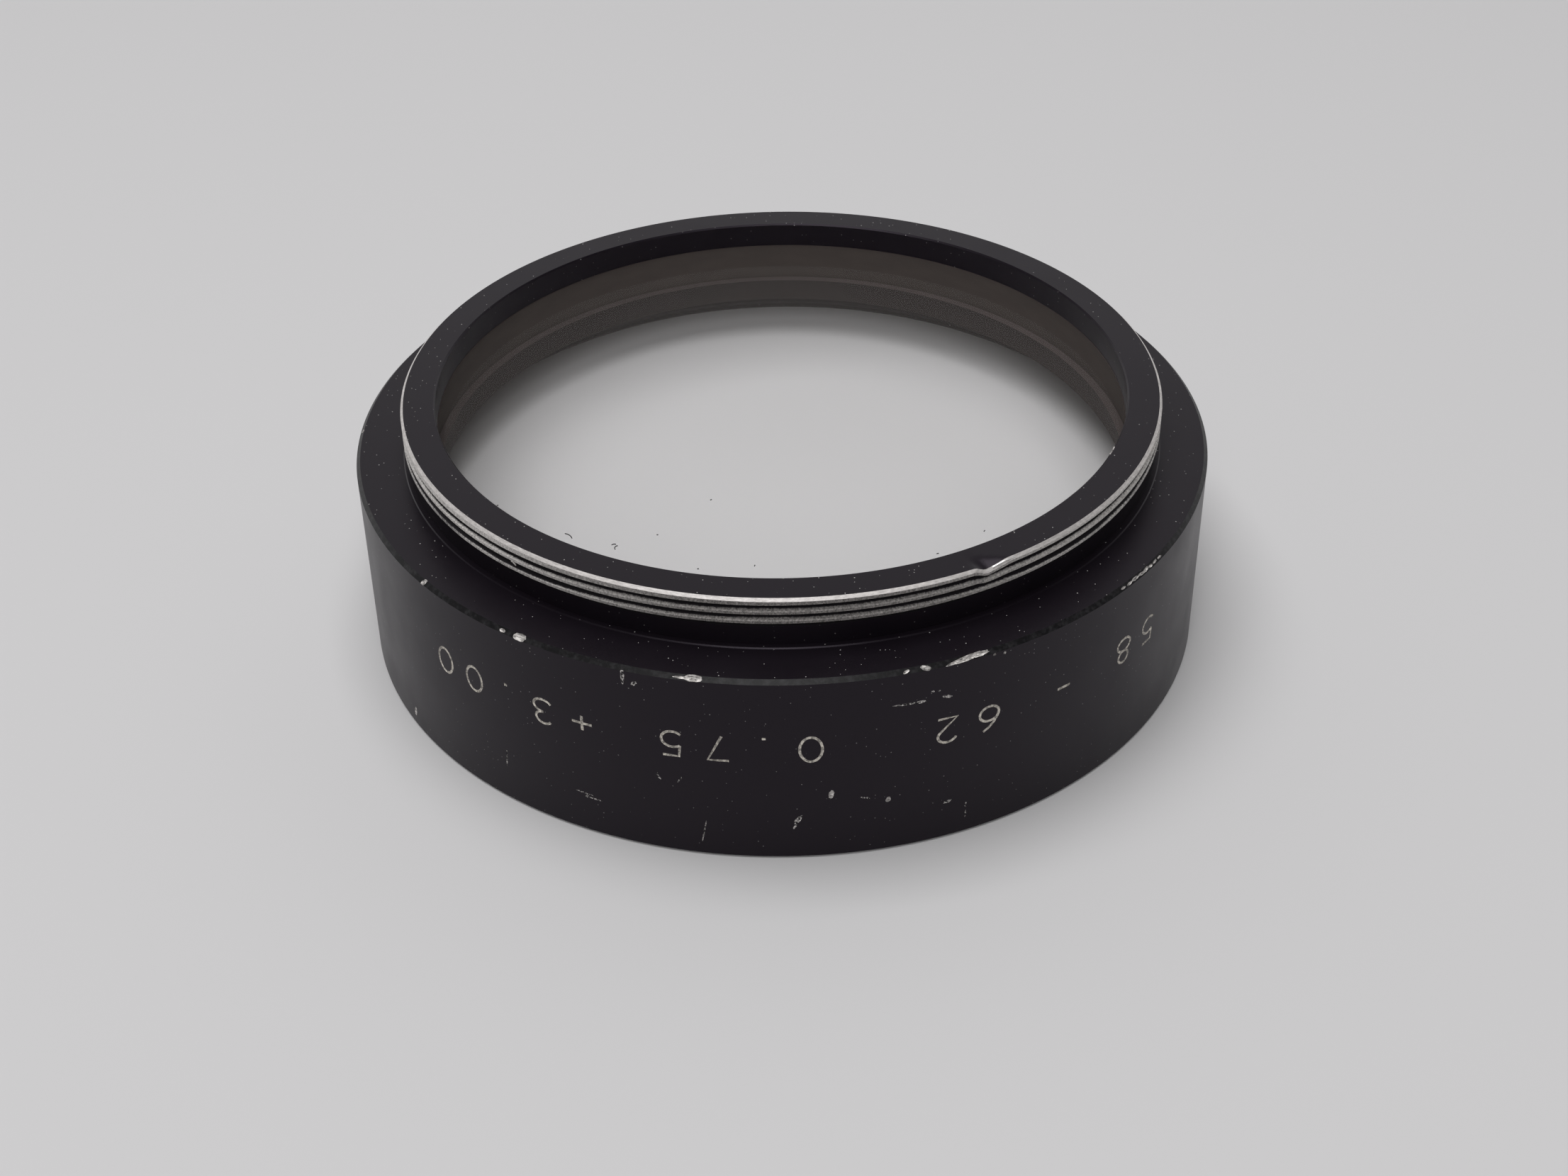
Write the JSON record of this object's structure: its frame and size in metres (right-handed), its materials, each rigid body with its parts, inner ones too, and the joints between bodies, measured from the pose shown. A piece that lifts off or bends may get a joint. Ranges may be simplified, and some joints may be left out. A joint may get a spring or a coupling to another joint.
{
  "type": "screw-in close-up lens",
  "caption": "Screw-in close-up lens: deep black anodised rim, outside accessory thread behind, inside thread in front, and a thick biconvex glass held by a slotted retaining ring.",
  "frame": {"origin": "centre of the front face of the rim, on the surface that the part stands on", "axes": "+Z along the optical axis from the front to the rear thread, the camera side; X and Y lie in the front face, with the pictured side towards -Y"},
  "size_m": [0.0654, 0.0654, 0.0196],
  "materials": {
    "rim_anodised": "black anodised, satin, thread crests worn to bare metal",
    "lens_glass": "polished and coated, edge blackened",
    "ring_anodised": "black anodised, matt"
  },
  "bodies": {
    "root": {"rim": "rim_anodised", "lens_glass": "lens_glass", "retaining_ring": "ring_anodised"}
  },
  "joints": []
}
